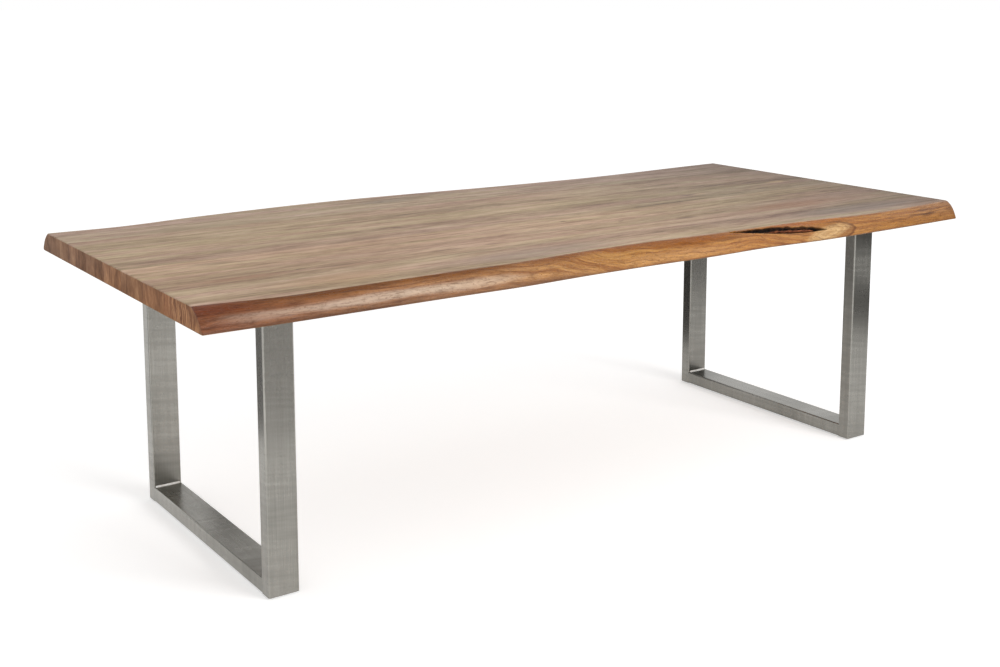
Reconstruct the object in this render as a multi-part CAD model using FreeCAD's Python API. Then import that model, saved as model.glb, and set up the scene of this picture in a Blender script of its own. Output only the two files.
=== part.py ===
import FreeCAD, Part
import os

# Live edge dining table in millimetres: X along the table, Y from front to rear, Z up from the floor.
# The origin is on the floor, below the middle of the table top.

# Table top
TABLE_LENGTH = 2500.0
TABLE_WIDTH = 1160.0
TABLE_HEIGHT = 762.0
BOARD_THICKNESS = 54.0
FRONT_WANE = 70.0
REAR_WANE = 75.0
WANE_BULGE = 6.0
BARK_WIDTH = 22.0
BARK_DEPTH = 12.0
SECTIONS_PER_STATION = 3

# Glue lines between the seven boards, from the front edge to the rear, as shares of the width
board_joint_shares = (0.20, 0.32, 0.44, 0.555, 0.665, 0.79)

# Live edges at even stations from the left end to the right: how far the edge lies inside
# the widest line, at the underside and at the top face, as shares of the wane
front_foot_shares = (0.16, 0.09, 0.09, 0.09, 0.04, 0.18, 0.20, 0.14, 0.23, 0.05, 0.08, 0.14, 0.25)
front_arris_shares = (1.00, 0.62, 0.64, 0.67, 0.67, 0.90, 0.97, 0.76, 0.78, 0.68, 0.40, 0.52, 0.82)
rear_foot_shares = (0.22, 0.32, 0.22, 0.14, 0.08, 0.09, 0.15, 0.24, 0.30, 0.32, 0.25, 0.14, 0.10)
rear_arris_shares = (0.84, 0.98, 0.60, 0.34, 0.18, 0.26, 0.46, 0.70, 0.84, 0.92, 0.82, 0.63, 0.53)

# Bark pocket in the front edge: place of each tip along the table and its drop below the top face
bark_start_shares = (0.65, 0.10)
bark_end_shares = (0.775, 0.52)

# Frames of welded rectangular tube
END_OVERHANG = 208.0
FRONT_OVERHANG = 171.0
REAR_OVERHANG = 205.0
TUBE_BREADTH = 80.0
TUBE_DEPTH = 40.0
TUBE_WALL = 3.0
TUBE_INNER_CORNER = 1.0
BAR_THICKNESS = 8.0
BAR_REACH = 70.0
END_PLATE_THICKNESS = 4.0
WELD_LEG = 4.0

# Bolts, washers and inserts that hold the boards to the mounting bars
BOLT_DIAMETER = 8.0
BOLT_GRIP = 15.0
BOLT_HEAD_DIAMETER = 14.0
BOLT_HEAD_HEIGHT = 4.4
HEX_KEY_WIDTH = 5.0
HEX_KEY_DEPTH = 2.6
WASHER_RIM = 7.5
WASHER_THICKNESS = 2.0
INSERT_WALL = 2.0
INSERT_TIP = 5.0
SLOT_CLEARANCE = 0.5
SLOT_TRAVEL = 8.0
OUTER_BOLT_INSET = 32.0

# Levelling glides and their rivet nuts
GLIDE_INSET = 60.0
GLIDE_TRAVEL = 10.0
PAD_DIAMETER = 36.0
PAD_THICKNESS = 3.0
PAD_CHAMFER = 0.6
PAD_SOCKET_DEPTH = 1.8
STUD_DIAMETER = 10.0
NUT_WALL = 1.2
NUT_FLANGE_RIM = 2.5
NUT_FLANGE_THICKNESS = 1.0
NUT_COLLAR_HEIGHT = 6.0

# Radial clearances, and how far a cut runs past what it cuts
RUNNING_CLEARANCE = 0.05
PRESS_CLEARANCE = 0.02
PLATE_CLEARANCE = 0.1
OVERRUN = 10.0

# Places that follow from the sizes above
UNDERSIDE_Z = TABLE_HEIGHT - BOARD_THICKNESS
BAR_UNDERSIDE_Z = UNDERSIDE_Z - BAR_THICKNESS
RUNNER_UNDERSIDE_Z = PAD_THICKNESS + NUT_FLANGE_THICKNESS
RUNNER_TOP_Z = RUNNER_UNDERSIDE_Z + TUBE_DEPTH
FRAME_X = TABLE_LENGTH / 2 - END_OVERHANG - TUBE_BREADTH / 2
FRAME_WIDTH = TABLE_WIDTH - FRONT_OVERHANG - REAR_OVERHANG
FRAME_Y = (FRONT_OVERHANG - REAR_OVERHANG) / 2
POST_INNER_Y = FRAME_WIDTH / 2 - TUBE_DEPTH
POST_CENTRE_Y = FRAME_WIDTH / 2 - TUBE_DEPTH / 2
BAR_END_Y = FRAME_WIDTH / 2 + BAR_REACH
GLIDE_Y = POST_INNER_Y - GLIDE_INSET
TUBE_OUTER_CORNER = TUBE_INNER_CORNER + TUBE_WALL
joint_lines = [TABLE_WIDTH * (share - 1 / 2) for share in board_joint_shares]
frame_lines = {"left": -FRAME_X, "right": FRAME_X}
ends = {"front": -1, "rear": 1}

V = FreeCAD.Vector
UP = V(0, 0, 1)


def box(x_span, y_span, z_span):
    """Block between the low and high values of each span."""
    low = V(x_span[0], y_span[0], z_span[0])
    return Part.makeBox(x_span[1] - low.x, y_span[1] - low.y, z_span[1] - low.z, low)


def cylinder(diameter, z_span, x, y):
    """Upright cylinder over a span of heights."""
    return Part.makeCylinder(diameter / 2, z_span[1] - z_span[0], V(x, y, z_span[0]), UP)


def bolt_lines():
    """Bolts from the middle of a frame: as many as boards, evenly between the posts and one beyond each."""
    outer = BAR_END_Y - OUTER_BOLT_INSET
    gaps = len(joint_lines)
    inner = [POST_INNER_Y * (2 * number / gaps - 1) for number in range(1, gaps)]
    return [-outer] + inner + [outer]


def edge_point(end, wane, inset_share, x, z):
    """Point on a live edge, set in from the widest line of the table."""
    return V(x, end * (TABLE_WIDTH / 2 - inset_share * wane), z)


def edge_section(end, foot, arris, joint_y):
    """Upright outline of a live-edge board at one station, open past its flat faces."""
    outward = (arris - foot).cross(V(end, 0, 0)).normalize()
    crown = (foot + arris) / 2 + outward * WANE_BULGE
    below = foot - UP * OVERRUN
    above = arris + UP * OVERRUN
    inner_y = joint_y - end * OVERRUN
    inner_low = V(foot.x, inner_y, below.z)
    inner_high = V(foot.x, inner_y, above.z)
    edges = [
        Part.makeLine(inner_low, below),
        Part.makeLine(below, foot),
        Part.Arc(foot, crown, arris).toShape(),
        Part.makeLine(arris, above),
        Part.makeLine(above, inner_high),
        Part.makeLine(inner_high, inner_low),
    ]
    return Part.Wire(edges)


def board_blank(low_y, high_y):
    """Straight board between two lines across the table."""
    half = TABLE_LENGTH / 2
    return box((-half, half), (low_y, high_y), (UNDERSIDE_Z, TABLE_HEIGHT))


def insert_holes():
    """Blind holes in the underside of the top, one for each threaded insert."""
    diameter = BOLT_DIAMETER + 2 * (INSERT_WALL + PRESS_CLEARANCE)
    span = (UNDERSIDE_Z - OVERRUN, UNDERSIDE_Z + BOLT_GRIP + INSERT_TIP)
    places = [(x, FRAME_Y + y) for x in frame_lines.values() for y in bolt_lines()]
    return Part.makeCompound([cylinder(diameter, span, x, y) for x, y in places])


def between_stations(shares, along_share):
    """Share at a place along the table, on a smooth curve through the chosen stations."""
    last = len(shares) - 1
    low = min(int(along_share * last), last - 1)
    t = along_share * last - low
    before, here = shares[max(low - 1, 0)], shares[low]
    there, after = shares[low + 1], shares[min(low + 2, last)]
    bend = 2 * before - 5 * here + 4 * there - after
    twist = 3 * (here - there) + after - before
    return here + t / 2 * (there - before + t * (bend + t * twist))


def live_edge_board(end, wane, foot_shares, arris_shares, joint_y):
    """Outer board: a straight blank trimmed to the loft of its wavy edge."""
    reach = TABLE_LENGTH + 2 * OVERRUN
    spans = SECTIONS_PER_STATION * (len(foot_shares) - 1)
    sections = []
    for number in range(spans + 1):
        along_share = number / spans
        x = reach * (along_share - 1 / 2)
        foot = edge_point(end, wane, between_stations(foot_shares, along_share), x, UNDERSIDE_Z)
        arris = edge_point(end, wane, between_stations(arris_shares, along_share), x, TABLE_HEIGHT)
        sections.append(edge_section(end, foot, arris, joint_y))
    outer_y = end * TABLE_WIDTH / 2
    blank = board_blank(min(joint_y, outer_y), max(joint_y, outer_y))
    return blank.common(Part.makeLoft(sections, True, False))


def front_edge_point(along_share, drop_share):
    """Point on the front live edge at a place along the table and a drop below the top face."""
    foot = between_stations(front_foot_shares, along_share)
    arris = between_stations(front_arris_shares, along_share)
    inset_share = arris + drop_share * (foot - arris)
    x = TABLE_LENGTH * (along_share - 1 / 2)
    z = TABLE_HEIGHT - drop_share * BOARD_THICKNESS
    return edge_point(ends["front"], FRONT_WANE, inset_share, x, z)


def bark_pocket():
    """Lens between two tips on the front live edge, sunk into the face, where the bark grew in."""
    start = front_edge_point(*bark_start_shares)
    end = front_edge_point(*bark_end_shares)
    middle_share = (bark_start_shares[0] + bark_end_shares[0]) / 2
    down_slope = front_edge_point(middle_share, 1) - front_edge_point(middle_share, 0)
    outward = down_slope.cross(end - start).normalize()
    across = outward.cross(end - start).normalize() * BARK_WIDTH / 2
    middle = (start + end) / 2
    upper = Part.Arc(start, middle + across, end).toShape()
    lower = Part.Arc(end, middle - across, start).toShape()
    lens = Part.Face(Part.Wire([upper, lower]))
    lens.translate(outward * OVERRUN)
    return lens.extrude(outward * -(OVERRUN + BARK_DEPTH))


def boards():
    """The seven glued boards, from the front edge to the rear."""
    front_line, rear_line = joint_lines[0], joint_lines[-1]
    front = live_edge_board(ends["front"], FRONT_WANE, front_foot_shares, front_arris_shares, front_line)
    rear = live_edge_board(ends["rear"], REAR_WANE, rear_foot_shares, rear_arris_shares, rear_line)
    blanks = {"front_live_edge_board": front.cut(bark_pocket())}
    for number, lines in enumerate(zip(joint_lines, joint_lines[1:]), start=1):
        blanks[f"inner_board_{number}"] = board_blank(*lines)
    blanks["rear_live_edge_board"] = rear
    holes = insert_holes()
    return {name: blank.cut(holes) for name, blank in blanks.items()}


def rounded_bar(breadth, depth, length, corner):
    """Bar that stands on the origin, with its four long edges rounded."""
    bar = box((-breadth / 2, breadth / 2), (-depth / 2, depth / 2), (0, length))
    upright = [edge for edge in bar.Edges if abs(edge.tangentAt(edge.FirstParameter).dot(UP)) > 1 / 2]
    return bar.makeFillet(corner, upright)


def tube(length):
    """Rectangular tube that stands on the origin."""
    bore_breadth = TUBE_BREADTH - 2 * TUBE_WALL
    bore_depth = TUBE_DEPTH - 2 * TUBE_WALL
    bore = rounded_bar(bore_breadth, bore_depth, length + 2 * OVERRUN, TUBE_INNER_CORNER)
    bore.translate(V(0, 0, -OVERRUN))
    return rounded_bar(TUBE_BREADTH, TUBE_DEPTH, length, TUBE_OUTER_CORNER).cut(bore)


def post(frame_x, end):
    """Upright tube from just above the floor to the mounting bar."""
    shape = tube(BAR_UNDERSIDE_Z - RUNNER_UNDERSIDE_Z)
    shape.translate(V(frame_x, end * POST_CENTRE_Y, RUNNER_UNDERSIDE_Z))
    return shape


def runner(frame_x):
    """Floor tube between the two posts, with a hole under each glide's rivet nut."""
    shape = tube(2 * POST_INNER_Y)
    shape.rotate(V(0, 0, 0), V(1, 0, 0), -90)
    shape.translate(V(frame_x, -POST_INNER_Y, RUNNER_UNDERSIDE_Z + TUBE_DEPTH / 2))
    diameter = STUD_DIAMETER + 2 * (RUNNING_CLEARANCE + NUT_WALL + PRESS_CLEARANCE)
    span = (RUNNER_UNDERSIDE_Z - OVERRUN, RUNNER_UNDERSIDE_Z + TUBE_DEPTH / 2)
    for end in ends.values():
        shape = shape.cut(cylinder(diameter, span, frame_x, end * GLIDE_Y))
    return shape


def mounting_bar(frame_x):
    """Flat bar over both posts, with a slot across the grain for each bolt."""
    x_span = (frame_x - TUBE_BREADTH / 2, frame_x + TUBE_BREADTH / 2)
    bar = box(x_span, (-BAR_END_Y, BAR_END_Y), (BAR_UNDERSIDE_Z, UNDERSIDE_Z))
    width = BOLT_DIAMETER + 2 * SLOT_CLEARANCE
    cut_span = (BAR_UNDERSIDE_Z - OVERRUN, UNDERSIDE_Z + OVERRUN)
    for y in bolt_lines():
        slot_ends = (y - SLOT_TRAVEL / 2, y + SLOT_TRAVEL / 2)
        slot = box((frame_x - width / 2, frame_x + width / 2), slot_ends, cut_span)
        for slot_end in slot_ends:
            slot = slot.fuse(cylinder(width, cut_span, frame_x, slot_end))
        bar = bar.cut(slot)
    return bar


def end_plates(frame_x):
    """Plates that close the feet of the two posts, flush with the tube ends."""
    breadth = TUBE_BREADTH - 2 * (TUBE_WALL + PLATE_CLEARANCE)
    depth = TUBE_DEPTH - 2 * (TUBE_WALL + PLATE_CLEARANCE)
    plates = []
    for end in ends.values():
        plate = rounded_bar(breadth, depth, END_PLATE_THICKNESS, TUBE_INNER_CORNER)
        plate.translate(V(frame_x, end * POST_CENTRE_Y, RUNNER_UNDERSIDE_Z))
        plates.append(plate)
    return Part.makeCompound(plates)


def weld(frame_x, corner_y, corner_z, along_y, along_z):
    """Fillet bead in the corner between two flat faces, as long as the flat of the tube."""
    half = TUBE_BREADTH / 2 - TUBE_OUTER_CORNER
    corner = V(frame_x - half, corner_y, corner_z)
    points = [corner, corner + V(0, along_y * WELD_LEG, 0), corner + V(0, 0, along_z * WELD_LEG), corner]
    return Part.Face(Part.makePolygon(points)).extrude(V(2 * half, 0, 0))


def welds(frame_x):
    """Beads on the runner and under the mounting bar, at both posts."""
    beads = []
    for end in ends.values():
        inner_y = end * POST_INNER_Y
        outer_y = end * FRAME_WIDTH / 2
        beads.append(weld(frame_x, inner_y, RUNNER_TOP_Z, -end, 1))
        beads.append(weld(frame_x, inner_y, BAR_UNDERSIDE_Z, -end, -1))
        beads.append(weld(frame_x, outer_y, BAR_UNDERSIDE_Z, end, -1))
    return Part.makeCompound(beads)


def hex_socket(x, y, z_span):
    """Hexagonal key socket over a span of heights."""
    first = V(HEX_KEY_WIDTH / 3 ** 0.5, 0, 0)
    spin = [FreeCAD.Rotation(UP, 60 * turn) for turn in range(7)]
    place = V(x, y, z_span[0])
    outline = Part.makePolygon([place + turn.multVec(first) for turn in spin])
    return Part.Face(outline).extrude(V(0, 0, z_span[1] - z_span[0]))


def bolt(x, y):
    """Button-head bolt from below the washer up into the insert."""
    seat_z = BAR_UNDERSIDE_Z - WASHER_THICKNESS
    low_z = seat_z - BOLT_HEAD_HEIGHT
    head = cylinder(BOLT_HEAD_DIAMETER, (low_z, seat_z), x, y)
    shank = cylinder(BOLT_DIAMETER, (seat_z, UNDERSIDE_Z + BOLT_GRIP), x, y)
    return head.fuse(shank).cut(hex_socket(x, y, (low_z - OVERRUN, low_z + HEX_KEY_DEPTH)))


def washer(x, y):
    """Wide washer that spans the slot in the mounting bar."""
    span = (BAR_UNDERSIDE_Z - WASHER_THICKNESS, BAR_UNDERSIDE_Z)
    bore = cylinder(BOLT_DIAMETER + 2 * SLOT_CLEARANCE, span, x, y)
    return cylinder(BOLT_DIAMETER + 2 * WASHER_RIM, span, x, y).cut(bore)


def insert(x, y):
    """Threaded sleeve set in the underside of a board."""
    span = (UNDERSIDE_Z, UNDERSIDE_Z + BOLT_GRIP + INSERT_TIP)
    bore = cylinder(BOLT_DIAMETER + 2 * RUNNING_CLEARANCE, span, x, y)
    return cylinder(BOLT_DIAMETER + 2 * INSERT_WALL, span, x, y).cut(bore)


def fastener_group(make, frame_x):
    """One fastener of a kind at each bolt of a frame."""
    return Part.makeCompound([make(frame_x, y) for y in bolt_lines()])


def rivet_nut(x, y):
    """Flanged nut in the underside of the runner, upset into a collar above the wall."""
    bore_diameter = STUD_DIAMETER + 2 * RUNNING_CLEARANCE
    sleeve_diameter = bore_diameter + 2 * NUT_WALL
    flange_diameter = sleeve_diameter + 2 * NUT_FLANGE_RIM
    wall_top_z = RUNNER_UNDERSIDE_Z + TUBE_WALL
    top_z = wall_top_z + NUT_COLLAR_HEIGHT
    flange = cylinder(flange_diameter, (PAD_THICKNESS, RUNNER_UNDERSIDE_Z), x, y)
    sleeve = cylinder(sleeve_diameter, (PAD_THICKNESS, top_z), x, y)
    collar = cylinder(flange_diameter, (wall_top_z, top_z), x, y)
    return flange.fuse(sleeve).fuse(collar).cut(cylinder(bore_diameter, (0, top_z), x, y))


def rivet_nuts(frame_x):
    """The two rivet nuts of a runner."""
    return Part.makeCompound([rivet_nut(frame_x, end * GLIDE_Y) for end in ends.values()])


def glide_pad(x, y):
    """Round floor pad with a chamfered foot and a socket for its stud."""
    pad = cylinder(PAD_DIAMETER, (0, PAD_THICKNESS), x, y)
    foot = [edge for edge in pad.Edges if edge.BoundBox.ZMax < PAD_THICKNESS / 2]
    socket_diameter = STUD_DIAMETER + 2 * PRESS_CLEARANCE
    socket = cylinder(socket_diameter, (PAD_THICKNESS - PAD_SOCKET_DEPTH, PAD_THICKNESS + OVERRUN), x, y)
    return pad.makeChamfer(PAD_CHAMFER, foot).cut(socket)


def glide_stud(x, y):
    """Threaded stud that still fills its nut when the glide is run right out."""
    nut_top_z = RUNNER_UNDERSIDE_Z + TUBE_WALL + NUT_COLLAR_HEIGHT
    return cylinder(STUD_DIAMETER, (PAD_THICKNESS - PAD_SOCKET_DEPTH, nut_top_z + GLIDE_TRAVEL), x, y)


def frame(side, frame_x):
    """All pieces of one leg frame and of what fastens and carries it, set on the frames' middle line."""
    pieces = {
        f"{side}_floor_runner": runner(frame_x),
        f"{side}_mounting_bar": mounting_bar(frame_x),
        f"{side}_post_end_plates": end_plates(frame_x),
        f"{side}_weld_beads": welds(frame_x),
        f"{side}_top_bolts": fastener_group(bolt, frame_x),
        f"{side}_top_washers": fastener_group(washer, frame_x),
        f"{side}_threaded_inserts": fastener_group(insert, frame_x),
        f"{side}_rivet_nuts": rivet_nuts(frame_x),
    }
    for end_name, end in ends.items():
        pieces[f"{side}_{end_name}_post"] = post(frame_x, end)
        pieces[f"{side}_{end_name}_glide_pad"] = glide_pad(frame_x, end * GLIDE_Y)
        pieces[f"{side}_{end_name}_glide_stud"] = glide_stud(frame_x, end * GLIDE_Y)
    for shape in pieces.values():
        shape.translate(V(0, FRAME_Y, 0))
    return pieces


os.makedirs("parts", exist_ok=True)
nodes = boards()
for side, frame_x in frame_lines.items():
    nodes.update(frame(side, frame_x))
for name, shape in nodes.items():
    shape.exportStep(f"parts/{name}.step")
    print(name, len(shape.Solids), round(shape.Volume), shape.isValid())
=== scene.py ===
# %% [markdown]
# A live edge dining table: seven boards glued side by side, whose two outer ones keep the edge of
# the log, on two U frames of brushed steel tube. The solid model comes in first and stays as it is.
# Everything below is looks: finer meshes over the boards and welds, and a finish made of nodes on
# every face. All places are in metres: X along the table, Y from front to rear, Z up from the floor.

# %% Load the solid model
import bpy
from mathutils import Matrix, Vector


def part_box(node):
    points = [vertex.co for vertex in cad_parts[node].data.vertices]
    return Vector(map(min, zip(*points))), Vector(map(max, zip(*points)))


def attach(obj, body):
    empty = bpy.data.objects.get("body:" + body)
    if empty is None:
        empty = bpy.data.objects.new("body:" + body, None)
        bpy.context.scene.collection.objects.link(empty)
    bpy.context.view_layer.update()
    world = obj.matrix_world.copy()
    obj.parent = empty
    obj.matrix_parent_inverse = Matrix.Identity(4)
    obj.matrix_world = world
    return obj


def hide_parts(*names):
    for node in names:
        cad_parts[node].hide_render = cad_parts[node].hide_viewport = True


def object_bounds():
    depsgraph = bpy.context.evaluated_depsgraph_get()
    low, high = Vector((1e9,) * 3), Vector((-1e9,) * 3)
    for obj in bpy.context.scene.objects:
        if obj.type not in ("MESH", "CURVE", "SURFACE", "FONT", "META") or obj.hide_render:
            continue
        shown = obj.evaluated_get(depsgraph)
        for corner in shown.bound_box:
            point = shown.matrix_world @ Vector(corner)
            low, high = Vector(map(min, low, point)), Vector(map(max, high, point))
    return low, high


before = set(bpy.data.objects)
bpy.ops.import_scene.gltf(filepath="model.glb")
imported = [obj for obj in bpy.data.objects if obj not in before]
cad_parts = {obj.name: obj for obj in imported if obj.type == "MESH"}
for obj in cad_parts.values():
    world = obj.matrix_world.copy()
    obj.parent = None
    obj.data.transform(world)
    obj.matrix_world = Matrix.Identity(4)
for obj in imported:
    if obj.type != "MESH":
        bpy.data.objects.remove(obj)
cad_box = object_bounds()
print(len(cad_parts), "solids loaded")

# %% Measure the solid model
import math

import bmesh
import bpy
import numpy as np
from mathutils import Vector, noise

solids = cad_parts
half_length = cad_box[1].x
top_z = cad_box[1].z
under_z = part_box("inner_board_1")[0].z
scene = bpy.context.scene
scene.view_settings.view_transform = "Standard"


def rounded_box(box):
    """Both corners of a box to the millimetre, for printing."""
    return [[round(v, 3) for v in corner] for corner in box]


print("box of the solid table", rounded_box(cad_box))

# %% [markdown]
# The camera stands a little under eye height, off the front left corner. Legs that stay upright in
# a picture taken from above come from a lens shift, not from tilting, so part of the downward look is
# shift. The rest is a small tilt, because the shift stays on when the table is seen from other sides.

# %% Camera
CAMERA_PLACE = (-2.3308, -3.2399, 1.4562)
CAMERA_YAW = 34.572
CAMERA_TILT = 8.536
SENSOR_WIDTH = 36
FOCAL_LENGTH = 49.46
LENS_SHIFT = -0.15

lens = bpy.data.cameras.new("camera")
lens.sensor_width = SENSOR_WIDTH
lens.lens = FOCAL_LENGTH
lens.shift_y = LENS_SHIFT
camera = bpy.data.objects.new("camera", lens)
camera.location = CAMERA_PLACE
camera.rotation_euler = (math.radians(90 - CAMERA_TILT), 0, math.radians(-CAMERA_YAW))
scene.collection.objects.link(camera)
scene.camera = camera
print("camera at", CAMERA_PLACE, "with a lens of", FOCAL_LENGTH, "mm")

# %% [markdown]
# A finish is a graph of nodes. Writing each node with its links takes five lines, so a small class
# takes the five lines over: every method adds a node or two and gives back the output. The sky is
# such a graph too, so what both need comes first and what only a finish needs comes second. Numbers
# that are the same all over a surface are set on the shader's own sockets.

# %% A helper for node graphs
class Graph:
    """The nodes of a material or of the sky."""

    def __init__(self, owner):
        owner.use_nodes = True
        self.nodes = owner.node_tree.nodes
        self.links = owner.node_tree.links

    def add(self, kind, sockets=None, **settings):
        """Add a node, set it up and feed its sockets."""
        node = self.nodes.new("ShaderNode" + kind)
        for name, value in settings.items():
            setattr(node, name, value)
        for key, value in (sockets or {}).items():
            self.feed(node.inputs[key], value)
        return node

    def feed(self, socket, value):
        """Link another node's output to a socket, or set a plain value on it."""
        if isinstance(value, bpy.types.NodeSocket):
            self.links.new(value, socket)
        else:
            socket.default_value = value

    def maths(self, operation, first, second=0.0):
        return self.add("Math", {0: first, 1: second}, operation=operation).outputs[0]

    def span(self, value, low, high, to_low=0.0, to_high=1.0):
        """Ease from one number to another while a value goes from low to high."""
        sockets = {0: value, 1: low, 2: high, 3: to_low, 4: to_high}
        return self.add("MapRange", sockets, interpolation_type="SMOOTHSTEP").outputs[0]

    def eye_rays(self):
        """1 for a ray from the camera, a reflection or a glass, and 0 for a ray that gathers light."""
        path = self.add("LightPath").outputs
        seen = self.maths("MAXIMUM", path["Is Camera Ray"], path["Is Glossy Ray"])
        return self.maths("MAXIMUM", seen, path["Is Transmission Ray"])


print("helper for node graphs ready")

# %% A helper for finishes
NOISE_LOW, NOISE_HIGH = 0.3, 0.7


class Finish(Graph):
    """One material whose colour, roughness and relief come from nodes."""

    def __init__(self, name):
        self.material = bpy.data.materials.new(name)
        super().__init__(self.material)
        self.shader = self.nodes["Principled BSDF"]
        self.place = self.add("TexCoord").outputs["Object"]

    def set(self, **values):
        """Feed the shader's sockets. An underscore here stands for a space in a socket's name."""
        for name, value in values.items():
            self.feed(self.shader.inputs[name.replace("_", " ")], value)

    def vector(self, operation, first, second=(0, 0, 0)):
        return self.add("VectorMath", {0: first, 1: second}, operation=operation).outputs[0]

    def join(self, x, y, z):
        return self.add("CombineXYZ", {0: x, 1: y, 2: z}).outputs[0]

    def axis(self, name, vector=None):
        return self.add("SeparateXYZ", {0: vector or self.place}).outputs[name]

    def attribute(self, name):
        return self.add("Attribute", attribute_name=name).outputs["Fac"]

    def band(self, value, rise_from, rise_to, fall_from, fall_to):
        """1 inside a range of a value, easing to 0 on both sides of it."""
        up = self.span(value, rise_from, rise_to)
        return self.maths("MULTIPLY", up, self.span(value, fall_from, fall_to, 1.0, 0.0))

    def gloss(self, value, dull, shiny):
        """Roughness that follows a noise from its low values to its high ones."""
        return self.span(value, NOISE_LOW, NOISE_HIGH, dull, shiny)

    def mix(self, share, first, second, blend="MIX"):
        node = self.add("Mix", {0: share, 6: first, 7: second}, data_type="RGBA", blend_type=blend)
        return node.outputs[2]

    def tint(self, colour, by):
        return self.mix(1.0, colour, by, "MULTIPLY")

    def relief(self, *layers):
        """Bumps upon bumps: the height and the depth in metres of each layer, the lowest one first."""
        normal = None
        for height, depth in layers:
            node = self.add("Bump", {"Height": height, "Strength": 1.0, "Distance": depth})
            if normal:
                self.feed(node.inputs["Normal"], normal)
            normal = node.outputs[0]
        return normal


print("helper for finishes ready")

# %% [markdown]
# Wood and brushed metal are both noise that was pulled long in one direction. A third class makes
# that: one method stretches a noise, one pushes a place about so that straight lines wander, and one
# counts how far a place lies from a spot, for knots and patches. Colours are written as the levels
# from 0 to 255 that a colour picker shows, and turned into the linear values that nodes work in.

# %% Stretched noise, spots and colour ramps
def tone(red, green, blue):
    """Linear colour from the levels that a colour picker shows."""
    shares = [level / 255 for level in (red, green, blue)]
    return (*[s / 12.92 if s <= 0.04045 else ((s + 0.055) / 1.055) ** 2.4 for s in shares], 1)


SPOT_CORE = 0.25


class Grain(Finish):
    """A finish with stretched noise, spots and ramps."""

    def streaks(self, scale, detail=4.0, roughness=0.55, place=None):
        """Noise with a scale for each axis: the smaller the scale, the longer the streaks."""
        stretched = self.vector("MULTIPLY", place or self.place, scale)
        sockets = {"Vector": stretched, "Scale": 1.0, "Detail": detail, "Roughness": roughness}
        return self.add("TexNoise", sockets).outputs["Fac"]

    def drift(self, place, scale, reach):
        """A place pushed about by a slow noise, by up to half of the reach each way."""
        stretched = self.vector("MULTIPLY", place, scale)
        slow = self.add("TexNoise", {"Vector": stretched, "Scale": 1.0, "Detail": 2.0})
        push = self.vector("SUBTRACT", slow.outputs["Color"], (0.5, 0.5, 0.5))
        return self.vector("ADD", place, self.vector("MULTIPLY", push, reach))

    def away(self, place, centre, radii):
        """Distance from a centre, where 1 is the outline of an ellipse with these radii."""
        offset = self.vector("SUBTRACT", place, centre)
        scaled = self.vector("DIVIDE", offset, radii)
        return self.add("VectorMath", {0: scaled}, operation="LENGTH").outputs["Value"]

    def blend(self, values, weights):
        """Sum of noises, each times its weight."""
        total = 0.0
        for value, weight in zip(values, weights):
            total = self.maths("ADD", total, self.maths("MULTIPLY", value, weight))
        return total

    def ramp(self, value, stops, interpolation="LINEAR"):
        node = self.add("ValToRGB", {0: value})
        elements = node.color_ramp.elements
        node.color_ramp.interpolation = interpolation
        while len(elements) < len(stops):
            elements.new(1.0)
        for element, (position, colour) in zip(elements, stops):
            element.position = position
            element.color = colour if len(colour) == 4 else (*colour, 1)
        return node.outputs["Color"]

    def spots(self, wood, place, marks):
        """Wood with soft marks: centre, radii, how strong and which colour."""
        for along, across, half_long, half_wide, share, colour in marks:
            distance = self.away(place, (along, across, 0), (half_long, half_wide, 1))
            wood = self.mix(self.span(distance, SPOT_CORE, 1.0, share, 0.0), wood, colour)
        return wood


print("a middle grey of 128 is", round(tone(128, 128, 128)[0], 3), "in linear light")

# %% [markdown]
# The studio is a pale floor without an end, an even sky and one large soft lamp at the front right.
# The sky is plain white to the eye and in reflections, and a little dimmer as a light, which the
# Light Path node can tell apart. The floor gets a small lift the same way, and still takes the shadow.
# The lamp is hidden from reflections, because a runner would mirror it as a glare.

# %% Sky
SKY_LIGHT = 0.74
WHITE = (1, 1, 1, 1)

sky = bpy.data.worlds.new("sky")
sky_graph = Graph(sky)
strength = sky_graph.span(sky_graph.eye_rays(), 0.0, 1.0, SKY_LIGHT, 1.0)
background = sky_graph.nodes["Background"].inputs
sky_graph.feed(background["Strength"], strength)
sky_graph.feed(background["Color"], WHITE)
scene.world = sky
print("sky lights with", SKY_LIGHT)

# %% Floor
FLOOR_RADIUS = 60.0
FLOOR_SIDES = 64
FLOOR_COLOUR = (0.8, 0.8, 0.8, 1)
FLOOR_LIFT = 0.46

pale = Finish("floor_paint")
matt = pale.add("BsdfDiffuse", {"Color": FLOOR_COLOUR})
lift = pale.add("Emission", {"Strength": pale.maths("MULTIPLY", pale.eye_rays(), FLOOR_LIFT)})
both = pale.add("AddShader", {0: matt.outputs[0], 1: lift.outputs[0]})
pale.feed(pale.nodes["Material Output"].inputs["Surface"], both.outputs[0])
pale.nodes.remove(pale.shader)

floor_mesh = bpy.data.meshes.new("floor")
disc = bmesh.new()
bmesh.ops.create_circle(disc, cap_ends=True, radius=FLOOR_RADIUS, segments=FLOOR_SIDES)
disc.to_mesh(floor_mesh)
disc.free()
floor_mesh.materials.append(pale.material)
floor = bpy.data.objects.new("floor", floor_mesh)
scene.collection.objects.link(floor)
print("floor with a radius of", FLOOR_RADIUS, "m")

# %% Lamp
LAMP_PLACE = (1.5, -4.7, 2.7)
LAMP_AIM = (-0.5, -0.4, 0.7)
LAMP_SIZE = (2.6, 1.3)
LAMP_POWER = 150


def facing(place, aim):
    """Rotation of a lamp or card at a place that looks at a point."""
    return (Vector(aim) - Vector(place)).to_track_quat("-Z", "Y").to_euler()


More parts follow.
